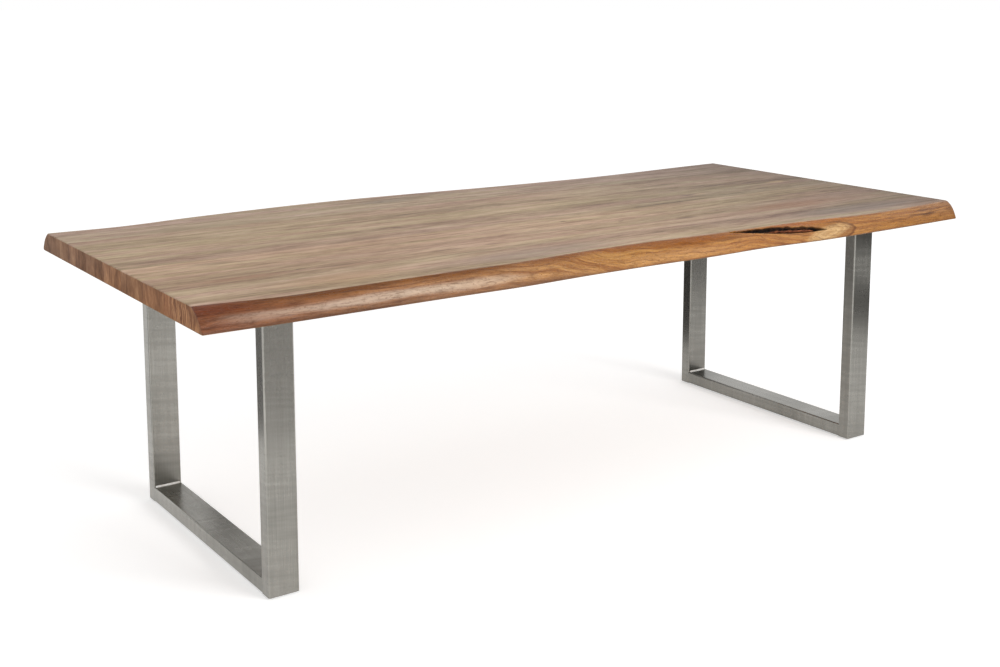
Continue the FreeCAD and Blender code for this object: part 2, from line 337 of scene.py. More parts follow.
soft_box = bpy.data.lights.new("key_lamp", "AREA")
soft_box.shape = "RECTANGLE"
soft_box.size, soft_box.size_y = LAMP_SIZE
soft_box.energy = LAMP_POWER
lamp = bpy.data.objects.new("key_lamp", soft_box)
lamp.location = LAMP_PLACE
lamp.rotation_euler = facing(LAMP_PLACE, LAMP_AIM)
lamp.visible_glossy = False
scene.collection.objects.link(lamp)
print("soft lamp of", LAMP_POWER, "W")

# %% [markdown]
# Bare steel is all reflection, and in an all-white room it goes flat. A studio stands grey cards
# beside such a thing, outside the picture, to give the metal something dark to mirror. These few are
# for reflections only: they cast no shadow, and neither the camera nor the soft light meets them.
# Two more serve the lacquered edge. A glowing strip in front of the table gives its bulge a long
# highlight, and a dark ceiling keeps the band above that highlight deep in colour.

# %% Cards for reflections
CARD_ROUGHNESS = 0.9
HIDDEN_FROM = ("visible_camera", "visible_diffuse", "visible_transmission", "visible_shadow")
# Place, aim, width, height, grey, and the glow of the one that glows
CARDS = {
    "front_right_card": ((1.66, -0.97, 0.68), (1.33, -0.69, 0.68), 0.70, 0.50, 0.02),
    "low_right_card": ((1.66, -0.97, 0.245), (1.33, -0.69, 0.245), 0.70, 0.18, 0.01),
    "far_right_card": ((1.80, -0.52, 0.50), (1.0, 0.335, 0.50), 0.5, 0.9, 0.52),
    "front_left_card": ((-0.64, -1.25, 0.46), (-1.0, -0.41, 0.46), 0.46, 0.88, 0.85),
    "middle_card": ((-0.50, 0.92, 0.22), (0.96, -0.39, 0.22), 0.70, 0.44, 0.22),
    "inner_card": ((0.57, 0.79, 0.30), (0.96, 0.355, 0.30), 0.5, 0.6, 0.15),
    "left_card": ((-1.47, 0.50, 0.34), (-1.04, -0.39, 0.34), 0.36, 0.55, 0.18),
    "rear_card": ((-0.10, 1.90, 0.80), (-1.0, 0.0, 0.80), 1.5, 1.3, 0.85),
    "ceiling_card": ((0.5, -1.0, 2.4), (0.5, -1.0, 0.0), 4.0, 1.7, 0.04),
    "glowing_card": ((0.63, -2.59, 2.37), (-0.82, -0.73, 0.73), 1.15, 0.5, 0.5, 8.8),
}


def reflection_card(name, place, aim, width, height, grey, glow=0.0):
    """Card in a matt grey that only reflections see, and that may glow."""
    paint = Finish(name + "_paint")
    paint.set(Base_Color=(grey, grey, grey, 1), Roughness=CARD_ROUGHNESS)
    paint.set(Emission_Color=WHITE, Emission_Strength=glow)
    x, y = width / 2, height / 2
    mesh = bpy.data.meshes.new(name)
    mesh.from_pydata([(-x, -y, 0), (x, -y, 0), (x, y, 0), (-x, y, 0)], [], [(0, 1, 2, 3)])
    mesh.materials.append(paint.material)
    card = bpy.data.objects.new(name, mesh)
    card.location = place
    card.rotation_euler = facing(place, aim)
    for rays in HIDDEN_FROM:
        setattr(card, rays, False)
    scene.collection.objects.link(card)


for name, card in CARDS.items():
    reflection_card(name, *card)
print(len(CARDS), "cards for reflections")

# %% [markdown]
# The top face is a greyed brown: a thin satin lacquer over long straight grain. A Wave texture could
# draw the grain, but its stripes are too even for wood. Four noises do it here, all stretched along
# the boards: broad bands, streaks, short dashes and fine fibre. Each board starts its grain elsewhere,
# so that a glue line shows as on a real top: by a change of figure, not by a drawn line.

# %% Where the grain of each board starts
GRAIN_STEP = 1.7


def stave_place(finish):
    """Place in the wood, moved on from board to board so that no grain crosses a glue line."""
    stave = finish.attribute("stave")
    steps = finish.join(finish.maths("MULTIPLY", stave, GRAIN_STEP), 0.0, stave)
    return finish.vector("ADD", finish.place, steps)


print("grain moves on by", GRAIN_STEP, "m per board")

# %% Marks on the top face
DARK = tone(78, 56, 40)
OLIVE = tone(112, 92, 62)
RED = tone(152, 106, 78)
GREY = tone(128, 117, 108)
PALE = tone(198, 168, 132)
TAN = tone(182, 146, 106)
# Place along and across, half length, half width, strength and colour of each knot, streak and patch
FACE_MARKS = [
    (-0.820, 0.363, 0.380, 0.040, 0.30, OLIVE),
    (-0.215, 0.458, 0.150, 0.045, 0.45, GREY),
    (-0.240, 0.458, 0.020, 0.008, 0.60, DARK),
    (-0.425, 0.046, 0.030, 0.006, 0.70, DARK),
    (-0.400, 0.034, 0.022, 0.005, 0.55, DARK),
    (-0.290, 0.033, 0.090, 0.030, 0.30, OLIVE),
    (-0.640, -0.167, 0.100, 0.007, 0.55, PALE),
    (-1.035, -0.122, 0.100, 0.024, 0.45, OLIVE),
    (-1.070, -0.312, 0.190, 0.030, 0.40, RED),
    (-0.890, -0.302, 0.018, 0.008, 0.65, DARK),
    (-0.780, -0.310, 0.110, 0.016, 0.50, OLIVE),
    (-0.475, -0.302, 0.070, 0.007, 0.50, DARK),
    (-0.330, -0.302, 0.030, 0.006, 0.50, DARK),
    (-0.295, -0.462, 0.380, 0.075, 0.40, GREY),
    (0.920, -0.462, 0.400, 0.075, 0.60, GREY),
    (-0.850, -0.450, 0.240, 0.075, 0.35, TAN),
    (0.225, 0.193, 0.070, 0.022, 0.40, DARK),
    (0.725, 0.233, 0.140, 0.010, 0.45, DARK),
    (0.450, -0.067, 0.220, 0.013, 0.60, DARK),
    (0.315, 0.078, 0.380, 0.008, 0.45, OLIVE),
    (0.645, 0.018, 0.036, 0.014, 0.60, tone(104, 82, 76)),
    (0.705, 0.018, 0.040, 0.010, 0.50, PALE),
    (1.100, 0.063, 0.060, 0.024, 0.45, PALE),
    (0.035, -0.137, 0.020, 0.008, 0.65, DARK),
    (0.170, -0.229, 0.022, 0.008, 0.65, DARK),
    (0.370, -0.292, 0.060, 0.013, 0.50, DARK),
    (0.765, -0.307, 0.280, 0.065, 0.40, RED),
]
print(len(FACE_MARKS), "marks on the top face")

# %% Tones of the top face
BOARD_COUNT = 7
FACE_TONES = [
    (0.385, tone(124, 100, 83)),
    (0.465, tone(164, 139, 117)),
    (0.535, tone(184, 159, 136)),
    (0.625, tone(208, 184, 159)),
]
PINK_TINT = (1.05, 0.965, 0.99, 1)
OLIVE_TINT = (0.975, 1.00, 0.89, 1)
# One tint per board, from the front to the rear
STAVE_TINTS = [
    (0.99, 0.98, 0.97),
    (0.93, 0.90, 0.86),
    (1.03, 1.01, 0.95),
    (0.95, 0.95, 0.93),
    (0.93, 0.94, 0.89),
    (0.96, 0.96, 0.95),
    (0.94, 0.96, 1.01),
]
# The top face is darker and greyer towards the right end
LENGTH_TINTS = [
    (0.00, (1.00, 1.00, 1.00)),
    (0.55, (1.00, 1.00, 1.00)),
    (0.78, (0.81, 0.84, 0.86)),
    (0.90, (0.69, 0.70, 0.71)),
    (1.00, (0.51, 0.51, 0.52)),
]


def share_along(finish):
    """0 at the table's left end and 1 at its right end."""
    return finish.maths("ADD", finish.maths("DIVIDE", finish.axis("X"), 2 * half_length), 0.5)


def tint_boards(finish, wood, tints):
    """Wood with one tint per board."""
    stops = [(number / BOARD_COUNT, colour) for number, colour in enumerate(tints)]
    middle = finish.maths("ADD", finish.attribute("stave"), 0.5)
    by_board = finish.ramp(finish.maths("DIVIDE", middle, BOARD_COUNT), stops, "CONSTANT")
    return finish.tint(wood, by_board)


print(len(STAVE_TINTS), "boards with a tint each")

# %% Face finish
# Each noise: scale along, across and through the boards, then detail and roughness
BROAD_BANDS = ((1.0, 14, 14), 3.0, 0.55)
FACE_STREAKS = ((4.5, 58, 58), 5.0, 0.68)
SHORT_DASHES = ((15, 120, 120), 4.0, 0.65)
FINE_FIBRE = ((20, 260, 260), 3.0, 0.7)
HUE_BANDS = ((1.4, 19, 19), 5.0, 0.7)
HUE_START = (40, 0, 0)
PORES = ((24, 330, 330), 3.0, 0.6)
FACE_WEIGHTS = (0.31, 0.24, 0.28, 0.17)
# Each span: where a noise starts and stops to count, and how much it then counts
HUE_SPAN = (0.40, 0.60)
PORE_SPAN = (0.58, 0.70, 0.0, 0.34)
# Each drift: scale of its slow noise and how far it pushes
GRAIN_DRIFT = ((1.6, 5, 5), (0, 0.04, 0))
MARK_DRIFTS = [((9, 30, 0), (0.09, 0.018, 0)), ((30, 160, 0), (0.05, 0.008, 0))]
STREAK_DEPTH = 0.0006
FIBRE_DEPTH = 0.0003
# Each gloss: roughness where the noise is low and where it is high
FACE_GLOSS = (0.62, 0.50)
FACE_SPECULAR = 0.14


def face_finish():
    finish = Grain("lacquered_face")
    place = stave_place(finish)
    wavy = finish.drift(place, *GRAIN_DRIFT)
    broad, streak = finish.streaks(*BROAD_BANDS, wavy), finish.streaks(*FACE_STREAKS, wavy)
    dash, fibre = finish.streaks(*SHORT_DASHES, wavy), finish.streaks(*FINE_FIBRE, place)
    wood = finish.ramp(finish.blend((broad, streak, dash, fibre), FACE_WEIGHTS), FACE_TONES)
    hue = finish.streaks(*HUE_BANDS, finish.vector("ADD", wavy, HUE_START))
    wood = finish.tint(wood, finish.mix(finish.span(hue, *HUE_SPAN), PINK_TINT, OLIVE_TINT))
    wood = tint_boards(finish, wood, STAVE_TINTS)
    wood = finish.tint(wood, finish.ramp(share_along(finish), LENGTH_TINTS))
    loose = finish.place
    for drift in MARK_DRIFTS:
        loose = finish.drift(loose, *drift)
    wood = finish.spots(wood, finish.vector("MULTIPLY", loose, (1, 1, 0)), FACE_MARKS)
    pores = finish.span(finish.streaks(*PORES, place), *PORE_SPAN)
    finish.set(Base_Color=finish.mix(pores, wood, DARK), Roughness=finish.gloss(streak, *FACE_GLOSS))
    finish.set(Normal=finish.relief((streak, STREAK_DEPTH), (fibre, FIBRE_DEPTH)))
    finish.set(Specular_IOR_Level=FACE_SPECULAR)
    return finish


face = face_finish()
print(face.material.name, "has", len(face.nodes), "nodes")

# %% [markdown]
# The ends show the cut fibres. The face's finish could run on over them, but noise that is stretched
# along the table shows as mere blots where it is cut across. So the ends get noise that is stretched
# upright: stripes that change from board to board, crisp and uneven near the front corner. Cut ends
# drink more lacquer than the faces and come out darker and warmer.

# %% End finish
END_TONES = [
    (0.34, tone(86, 54, 35)),
    (0.45, tone(132, 91, 61)),
    (0.55, tone(160, 114, 78)),
    (0.66, tone(194, 147, 106)),
]
# One tint per board, from the front to the rear
END_TINTS = [
    (1.06, 0.91, 0.79),
    (1.07, 1.02, 0.98),
    (0.92, 0.90, 0.88),
    (1.08, 1.05, 1.02),
    (0.86, 0.85, 0.85),
    (0.84, 0.82, 0.81),
    (0.80, 0.81, 0.83),
]
END_DRIFT = ((1, 30, 40), (0, 0.02, 0))
END_STRIPES = ((1, 11, 9), 4.0, 0.62)
END_LINES = ((1, 75, 16), 4.0, 0.66)
END_WEIGHTS = (0.56, 0.44)
CRISP_LINES = ((1, 135, 17), 4.0, 0.66)
CRISP_SPAN = (0.40, 0.60)
CRISP_TONES = (tone(96, 58, 36), tone(204, 152, 108))
CRISP_FROM, CRISP_TO = -0.34, -0.42
CRISP_SHARE = 0.58
END_DEPTH = 0.0008
END_GLOSS = (0.66, 0.52)
BARE_SPECULAR = 0.2


def end_finish():
    finish = Grain("end_grain")
    wavy = finish.drift(stave_place(finish), *END_DRIFT)
    stripe, narrow = finish.streaks(*END_STRIPES, wavy), finish.streaks(*END_LINES, wavy)
    figure = finish.blend((stripe, narrow), END_WEIGHTS)
    wood = tint_boards(finish, finish.ramp(figure, END_TONES), END_TINTS)
    crisp = finish.span(finish.streaks(*CRISP_LINES, wavy), *CRISP_SPAN)
    light_and_dark = finish.mix(crisp, *CRISP_TONES)
    corner = finish.span(finish.axis("Y"), CRISP_FROM, CRISP_TO)
    wood = finish.mix(finish.maths("MULTIPLY", corner, CRISP_SHARE), wood, light_and_dark)
    finish.set(Base_Color=wood, Roughness=finish.gloss(figure, *END_GLOSS))
    finish.set(Normal=finish.relief((narrow, END_DEPTH)), Specular_IOR_Level=BARE_SPECULAR)
    return finish


ends = end_finish()
print(ends.material.name, "has", len(ends.nodes), "nodes")

# %% [markdown]
# The live edge is the outside of the log under its bark, polished and left in its own shape. Its
# growth lines run along it and then dive down across it, so the lines are a noise that is shifted
# downwards more and more along the table. Each point of the edge knows its drop, 0 at the top face
# and 1 at the foot, so that bands, patches and lines follow the edge however it winds.

# %% Marks on the live edges, with painted highlights and painted shade on the front one
BARK_BROWN = tone(98, 56, 26)
HONEY = tone(188, 134, 72)
# Place along, drop, half length, half drop, strength and colour
FRONT_MARKS_AND_PAINTED_LIGHT = [
    (-1.220, 0.12, 0.190, 0.42, 0.75, tone(106, 48, 20)),
    # Pale wood and a painted highlight where the bulge catches the light
    (-1.110, 0.62, 0.130, 0.26, 0.50, tone(180, 152, 132)),
    (-1.250, 0.75, 0.130, 0.40, 0.55, tone(128, 78, 50)),
    (-0.930, 0.02, 0.330, 0.36, 0.90, tone(104, 58, 16)),
    (-0.600, 0.00, 0.280, 0.36, 0.90, tone(114, 64, 16)),
    (-0.300, 0.02, 0.220, 0.34, 0.85, tone(124, 70, 18)),
    # The next two: pale wood, and mostly a painted highlight along the bulge
    (-0.850, 0.58, 0.340, 0.24, 0.70, tone(192, 169, 148)),
    (-0.590, 0.60, 0.260, 0.28, 0.55, tone(200, 178, 156)),
    # The next two: darker wood and painted shade where the edge curves under towards its foot
    (-0.880, 1.02, 0.400, 0.34, 0.80, tone(90, 52, 24)),
    (-0.400, 1.04, 0.360, 0.32, 0.75, tone(104, 64, 34)),
    (-0.050, 0.04, 0.250, 0.30, 0.85, tone(134, 74, 20)),
    (0.180, 0.16, 0.210, 0.36, 0.85, tone(140, 80, 26)),
    (0.290, 0.34, 0.090, 0.16, 0.60, tone(118, 70, 28)),
    (0.100, 0.72, 0.260, 0.26, 0.45, tone(194, 146, 94)),
    (0.520, 0.12, 0.150, 0.14, 0.65, tone(150, 82, 36)),
    (0.660, 0.10, 0.160, 0.16, 0.55, tone(166, 98, 42)),
    (0.756, 0.52, 0.028, 0.24, 0.65, tone(108, 72, 38)),
    (0.840, 0.70, 0.100, 0.22, 0.40, tone(150, 102, 58)),
    (0.960, 0.56, 0.090, 0.07, 0.55, tone(112, 68, 32)),
    (1.040, 0.48, 0.060, 0.07, 0.60, BARK_BROWN),
    (1.095, 0.28, 0.070, 0.09, 0.75, tone(92, 54, 24)),
    (1.105, 0.52, 0.085, 0.09, 0.85, tone(84, 48, 22)),
    (1.100, 0.41, 0.045, 0.08, 0.50, tone(164, 116, 66)),
    (1.185, 0.28, 0.060, 0.08, 0.55, BARK_BROWN),
    (1.270, 0.40, 0.070, 0.80, 0.45, BARK_BROWN),
]
REAR_MARKS = [
    (-0.900, 0.20, 0.250, 0.35, 0.70, BARK_BROWN),
    (-0.350, 0.60, 0.240, 0.40, 0.60, HONEY),
    (0.250, 0.15, 0.300, 0.30, 0.70, tone(132, 82, 46)),
    (0.820, 0.55, 0.260, 0.35, 0.60, tone(196, 154, 112)),
]
print(len(FRONT_MARKS_AND_PAINTED_LIGHT), "marks on the front edge,", len(REAR_MARKS), "on the rear edge")

# %% Zones along the live edges
# Light and dark wood along each edge, and how far its growth lines have dived, as a share
FRONT_LIGHT = [
    (0.00, tone(138, 84, 52)),
    (0.12, tone(156, 106, 68)),
    (0.32, tone(176, 130, 84)),
    (0.45, tone(182, 132, 72)),
    (0.64, tone(176, 122, 62)),
    (0.85, tone(166, 116, 60)),
    (1.00, tone(154, 107, 56)),
]
FRONT_DARK = [
    (0.00, tone(94, 50, 30)),
    (0.20, tone(116, 70, 40)),
    (0.45, tone(142, 88, 40)),
    (0.70, tone(138, 82, 36)),
    (1.00, tone(132, 84, 44)),
]
FRONT_DIVE = [
    (0.0, 0.0), (0.30, 0.06), (0.36, 0.14), (0.47, 0.52), (0.62, 0.60), (0.80, 0.92), (1.0, 1.0),
]
REAR_LIGHT = [(0.0, tone(190, 142, 98)), (0.4, tone(178, 128, 84)), (1.0, tone(150, 102, 74))]
REAR_DARK = [(0.0, tone(144, 96, 58)), (0.5, tone(126, 80, 48)), (1.0, tone(104, 64, 46))]
REAR_DIVE = [(0.0, 0.0), (0.25, 0.35), (0.60, 0.45), (0.75, 0.90), (1.0, 1.0)]
DIVE_REACH = 2.4


def greys(points):
    """Stops of a ramp that holds a curve instead of colours."""
    return [(position, (height, height, height)) for position, height in points]


print("growth lines dive", DIVE_REACH, "times the edge's height")

# %% Sapwood patch
SAPWOOD_PLACE = (0.664, 0.70, 0)
SAPWOOD_RADII = (0.074, 0.42, 1)
SAPWOOD_LEAN = 0.14
SAPWOOD_DRIFT = ((14, 4, 0), (0.02, 0.10, 0))
SAPWOOD_LINES = ((4, 0, 0), 3.0, 0.6)
RING_PLACE = (0.680, 0.62, 0)
RING_RADII = (0.090, 0.42, 1)
RING_BLUR = 0.03
RING_BAND = (0.86, 1.0, 1.0, 1.12)
RING_SHARE = 0.85
CRESCENT_SPAN = (0.90, 1.0, 0.6, 0.0)
CRESCENT_TONE = tone(138, 94, 52)
SAPWOOD_SPAN = (0.64, 1.12, 0.85, 0.0)
SAPWOOD_TONES = (tone(172, 130, 80), tone(206, 171, 122))


def sapwood(finish, wood, flat):
    """The pale patch below the bark void, with a browner crescent and a dark ring to its right."""
    place = finish.drift(flat, *SAPWOOD_DRIFT)
    outer = finish.away(place, RING_PLACE, RING_RADII)
    right = finish.span(finish.axis("X"), RING_PLACE[0] - RING_BLUR, RING_PLACE[0] + RING_BLUR)
    crescent = finish.maths("MULTIPLY", right, finish.span(outer, *CRESCENT_SPAN))
    wood = finish.mix(crescent, wood, CRESCENT_TONE)
    ring = finish.maths("MULTIPLY", right, finish.band(outer, *RING_BAND))
    wood = finish.mix(finish.maths("MULTIPLY", ring, RING_SHARE), wood, BARK_BROWN)
    lower = finish.maths("SUBTRACT", finish.axis("Y", place), SAPWOOD_PLACE[1])
    lean = finish.join(finish.maths("MULTIPLY", lower, SAPWOOD_LEAN), 0.0, 0.0)
    distance = finish.away(finish.vector("ADD", place, lean), SAPWOOD_PLACE, SAPWOOD_RADII)
    growth = finish.streaks(*SAPWOOD_LINES, finish.join(distance, 0.0, 0.0))
    pale_wood = finish.mix(finish.span(growth, NOISE_LOW, NOISE_HIGH), *SAPWOOD_TONES)
    return finish.mix(finish.span(distance, *SAPWOOD_SPAN), wood, pale_wood)


print("sapwood patch", round(SAPWOOD_RADII[0] * 2000), "mm long")

# %% Cracks
# From one end to the other: place along and drop, then how strong
FRONT_CRACKS = [
    ((0.362, 0.14), (0.430, 0.62), 0.50),
    ((0.478, 0.44), (0.600, 0.74), 0.55),
    ((0.600, 0.74), (0.640, 0.99), 0.45),
    ((-0.380, 0.22), (-0.190, 0.92), 0.30),
    ((1.090, 0.30), (1.165, 0.56), 0.55),
]
CRACK_DROP = 0.035
CRACK_STEEPNESS = 8
CRACK_DRIFT = ((20, 6, 0), (0.02, 0.05, 0))
CRACK_BAND = (-0.05, 0.15, 0.8, 1.05)
CRACK_TONE = tone(88, 52, 30)


def crack_lines(finish, wood, flat):
    """Thin dark lines between two points of the edge."""
    place = finish.drift(flat, *CRACK_DRIFT)
    x, drop = finish.axis("X", place), finish.axis("Y", place)
    for (start_x, start_drop), (end_x, end_drop), strength in FRONT_CRACKS:
        run, fall = end_x - start_x, end_drop - start_drop
        along = finish.maths("DIVIDE", finish.maths("SUBTRACT", x, start_x), run)
        middle = finish.maths("ADD", finish.maths("MULTIPLY", along, fall), start_drop)
        off = finish.maths("ABSOLUTE", finish.maths("SUBTRACT", drop, middle))
        reach = CRACK_DROP * max(1.0, abs(fall) / abs(run) / CRACK_STEEPNESS)
        line = finish.span(off, 0.0, reach, strength, 0.0)
        line = finish.maths("MULTIPLY", line, finish.band(along, *CRACK_BAND))
        wood = finish.mix(line, wood, CRACK_TONE)
    return wood


print(len(FRONT_CRACKS), "cracks on the front edge")

# %% Live edge finish
# Each noise: scale along, down and through the edge, then detail and roughness
GROWTH_LINES = ((3.0, 7.5, 0), 5.0, 0.68)
EDGE_FIBRE = ((24, 15, 0), 5.0, 0.72)
EDGE_GRIT = ((110, 230, 230), 3.0, 0.65)
TORN_BARK = ((60, 160, 240), 4.0, 0.55)
GROWTH_DRIFT = ((5, 2.2, 0), (0.05, 0.40, 0))
EDGE_MARK_DRIFT = ((7, 3, 0), (0.09, 0.18, 0))
GROWTH_DEPTH = 0.0016
EDGE_FIBRE_DEPTH = 0.0008
GRIT_DEPTH = 0.0010
GROWTH_SPAN = (0.32, 0.64)
GRIT_SPAN = (0.54, 0.68, 0.0, 0.45)
# Painted shadow: a dark line along the foot of each live edge
FOOT_SHADOW_SPAN = (0.88, 1.0, 0.0, 0.85)
FOOT_SHADOW_TONE = tone(70, 42, 26)
EDGE_GLOSS = (0.38, 0.24)
EDGE_SPECULAR = 0.4
FIBRE_TINTS = [(0.34, (0.58, 0.52, 0.46)), (0.50, (1.0, 1.0, 1.0)), (0.66, (1.20, 1.22, 1.24))]
# Inside the void: near black as painted shade of its depth, with brown crumbs of bark
HOLLOW_SHADE_TONES = [(0.40, tone(8, 6, 5)), (0.55, tone(32, 20, 15)), (0.66, tone(92, 56, 34))]
SLIVER_TONES = [(0.35, tone(84, 42, 26)), (0.65, tone(168, 98, 62))]


def live_edge_finish(name, light, dark, dive, marks, is_front):
    finish = Grain(name)
    drop, along = finish.attribute("drop"), share_along(finish)
    flat = finish.join(finish.axis("X"), drop, 0.0)
    dived = finish.maths("MULTIPLY", finish.ramp(along, greys(dive), "EASE"), DIVE_REACH)
    bent = finish.drift(flat, *GROWTH_DRIFT)
    lines = finish.vector("SUBTRACT", bent, finish.join(0.0, dived, 0.0))
    growth, fibre = finish.streaks(*GROWTH_LINES, lines), finish.streaks(*EDGE_FIBRE, lines)
    grit, torn = finish.streaks(*EDGE_GRIT), finish.streaks(*TORN_BARK)
    light_wood, dark_wood = finish.ramp(along, light), finish.ramp(along, dark)
    wood = finish.mix(finish.span(growth, *GROWTH_SPAN), dark_wood, light_wood)
    wood = finish.spots(wood, finish.drift(flat, *EDGE_MARK_DRIFT), marks)
    if is_front:
        wood = crack_lines(finish, sapwood(finish, wood, flat), flat)
    wood = finish.tint(wood, finish.ramp(fibre, FIBRE_TINTS))
    wood = finish.mix(finish.span(grit, *GRIT_SPAN), wood, BARK_BROWN)
    # Painted shadow along the foot of the edge
    wood = finish.mix(finish.span(drop, *FOOT_SHADOW_SPAN), wood, FOOT_SHADOW_TONE)
    # Painted shade inside the void, with the bark sliver mixed in
    hollow, sliver = finish.ramp(torn, HOLLOW_SHADE_TONES), finish.ramp(torn, SLIVER_TONES)
    hollow = finish.mix(finish.attribute("sliver"), hollow, sliver)
    void = finish.attribute("void")
    roughness = finish.maths("MAXIMUM", finish.gloss(fibre, *EDGE_GLOSS), void)
    finish.set(Base_Color=finish.mix(void, wood, hollow), Roughness=roughness)
    layers = [(growth, GROWTH_DEPTH), (fibre, EDGE_FIBRE_DEPTH), (grit, GRIT_DEPTH)]
    finish.set(Normal=finish.relief(*layers), Specular_IOR_Level=EDGE_SPECULAR)
    return finish


front_edge = live_edge_finish(
    "front_live_edge", FRONT_LIGHT, FRONT_DARK, FRONT_DIVE, FRONT_MARKS_AND_PAINTED_LIGHT, is_front=True)
rear_edge = live_edge_finish(
    "rear_live_edge", REAR_LIGHT, REAR_DARK, REAR_DIVE, REAR_MARKS, is_front=False)
print(front_edge.material.name, "has", len(front_edge.nodes), "nodes")

# %% [markdown]
# Nobody lacquers the underside: it is sanded, and keeps faint saw marks across the grain. Two noises
# do for that, one stretched along the boards and one stretched across them.

# %% Underside finish
UNDER_STREAKS = ((1.6, 50, 50), 5.0, 0.6)
SAW_MARKS = ((160, 4, 4), 2.0, 0.55)
UNDER_WEIGHTS = (0.85, 0.15)
UNDER_TONES = [(0.35, tone(118, 84, 56)), (0.65, tone(176, 138, 98))]
SAW_DEPTH = 0.0003
UNDER_GLOSS = (0.78, 0.64)


def underside_finish():
    finish = Grain("sanded_underside")
    place = stave_place(finish)
    streak, saw = finish.streaks(*UNDER_STREAKS, place), finish.streaks(*SAW_MARKS, place)
    wood = finish.ramp(finish.blend((streak, saw), UNDER_WEIGHTS), UNDER_TONES)
    finish.set(Base_Color=wood, Roughness=finish.gloss(streak, *UNDER_GLOSS))
    finish.set(Normal=finish.relief((streak, STREAK_DEPTH), (saw, SAW_DEPTH)))
    finish.set(Specular_IOR_Level=BARE_SPECULAR)
    return finish


underside = underside_finish()
print(underside.material.name, "has", len(underside.nodes), "nodes")

# %% [markdown]
# Each board is a skin through closed rings of points, one ring per place along the table. A cube with
# a bevel could do for a straight board, but a ring can be aimed exactly, and the same skin then serves
# the live edges, whose section changes all along.

# %% Rounded ends
END_ROUND = 0.0022
END_STEPS = 5


def end_ease(stations):
    """How much a section shrinks close to the two ends, so that the end corners come out rounded."""
    inside = np.clip((half_length - np.abs(stations)) / END_ROUND, 0, 1)
    return END_ROUND * (1 - np.sqrt(1 - (1 - inside) ** 2))


def rounded_ends(spaced):
    """Places along the table: the given ones, and close ones where the ends round off."""
    curve = half_length - END_ROUND * (1 - np.cos(np.linspace(0, math.pi / 2, END_STEPS + 1)))
    middle = spaced[np.abs(spaced) < half_length - END_ROUND]
    return np.concatenate([-curve, middle, curve[::-1]])


print("end corners rounded by", END_ROUND * 1000, "mm")

# %% A skin through rings
SHARP_ANGLE = 35


def skin(name, rings, segment_finishes, finishes, ends_finish):
    """Mesh through closed rings of points, capped at both ends."""
    stations, points = rings.shape[:2]
    index = np.arange(stations * points).reshape(stations, points)
    onward = np.roll(index, -1, axis=1)
    quads = np.stack([index[:-1], onward[:-1], onward[1:], index[1:]], axis=-1).reshape(-1, 4)
    faces = quads.tolist() + [index[0][::-1].tolist(), index[-1].tolist()]
    mesh = bpy.data.meshes.new(name)
    mesh.from_pydata(rings.reshape(-1, 3), [], faces)
    for finish in finishes:
        mesh.materials.append(finish.material)
    wanted = np.concatenate([np.tile(segment_finishes, stations - 1), [ends_finish, ends_finish]])
    mesh.polygons.foreach_set("material_index", wanted.astype(np.int32))
    turned = bmesh.new()
    turned.from_mesh(mesh)
    bmesh.ops.recalc_face_normals(turned, faces=turned.faces)
    turned.to_mesh(mesh)
    turned.free()
    mesh.shade_smooth()
    mesh.set_sharp_from_angle(angle=math.radians(SHARP_ANGLE))
    return mesh


print("corners over", SHARP_ANGLE, "degrees stay sharp")

# %% Notes on a mesh, and its place on the table
def note(mesh, name, values):
    """Store one number per corner of a mesh, for its finish to read."""
    numbers = np.asarray(values, dtype=np.float32).ravel()
    mesh.attributes.new(name, "FLOAT", "POINT").data.foreach_set("value", numbers)


def place_piece(name, mesh, node):
    """Put a mesh in the scene in place of a solid of the table."""
    piece = bpy.data.objects.new(name, mesh)
    scene.collection.objects.link(piece)
    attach(piece, "table")
    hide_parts(node)
    print(piece.name, "has", len(mesh.vertices), "corners")


print("pieces of wood and weld will ride on the table")

# %% [markdown]
# The inner boards are straight. A hair-wide groove along each glue line catches the light as the
# slightly swollen joints of a real top do. A Bevel modifier could cut it, but written into the rings
# it keeps its exact size and costs only four more points.

# %% Inner boards
FACE, EDGE, UNDER, END = 0, 1, 2, 3
GLUE_GROOVE = 0.0004
STRAIGHT_STATIONS = 26


def straight_rings(low_y, high_y, stations):
    """Rings of a straight board, grooved along its four long corners."""
    rings = []
    for x, shrink in zip(stations, end_ease(stations)):
        high, low = top_z - shrink, under_z + shrink
        rings.append([
            (x, low_y, high - GLUE_GROOVE), (x, low_y + GLUE_GROOVE, high),
            (x, high_y - GLUE_GROOVE, high), (x, high_y, high - GLUE_GROOVE),
            (x, high_y, low + GLUE_GROOVE), (x, high_y - GLUE_GROOVE, low),
            (x, low_y + GLUE_GROOVE, low), (x, low_y, low + GLUE_GROOVE),
        ])
    return np.array(rings)


straight_finishes = np.array([FACE, FACE, FACE, UNDER, UNDER, UNDER, UNDER, UNDER])
straight_places = rounded_ends(np.linspace(-half_length, half_length, STRAIGHT_STATIONS))
inner_names = [f"inner_board_{number}" for number in range(1, BOARD_COUNT - 1)]
for number, name in enumerate(inner_names, start=1):
    low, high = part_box(name)
    rings = straight_rings(low.y, high.y, straight_places)
    mesh = skin(name, rings, straight_finishes, [face, front_edge, underside, ends], END)
    note(mesh, "stave", np.full(len(mesh.vertices), number))
    place_piece(name.replace("board", "plank"), mesh, name)

# %% [markdown]
# The outer boards carry the live edge. Their rings follow the solid's own edge, which is read from
# its corners at the top face and at the underside and softened between them. Between those two lines
# the edge bulges as in the solid, and on top of that it ripples, long along the log and short across.

# %% Read the live edges from the solids
EDGE_REACH = 0.48
READ_STEP = 0.005
SOFTENING = 7
SAME_LEVEL = 1e-5

edge_sides = {"front_live_edge_board": -1, "rear_live_edge_board": 1}


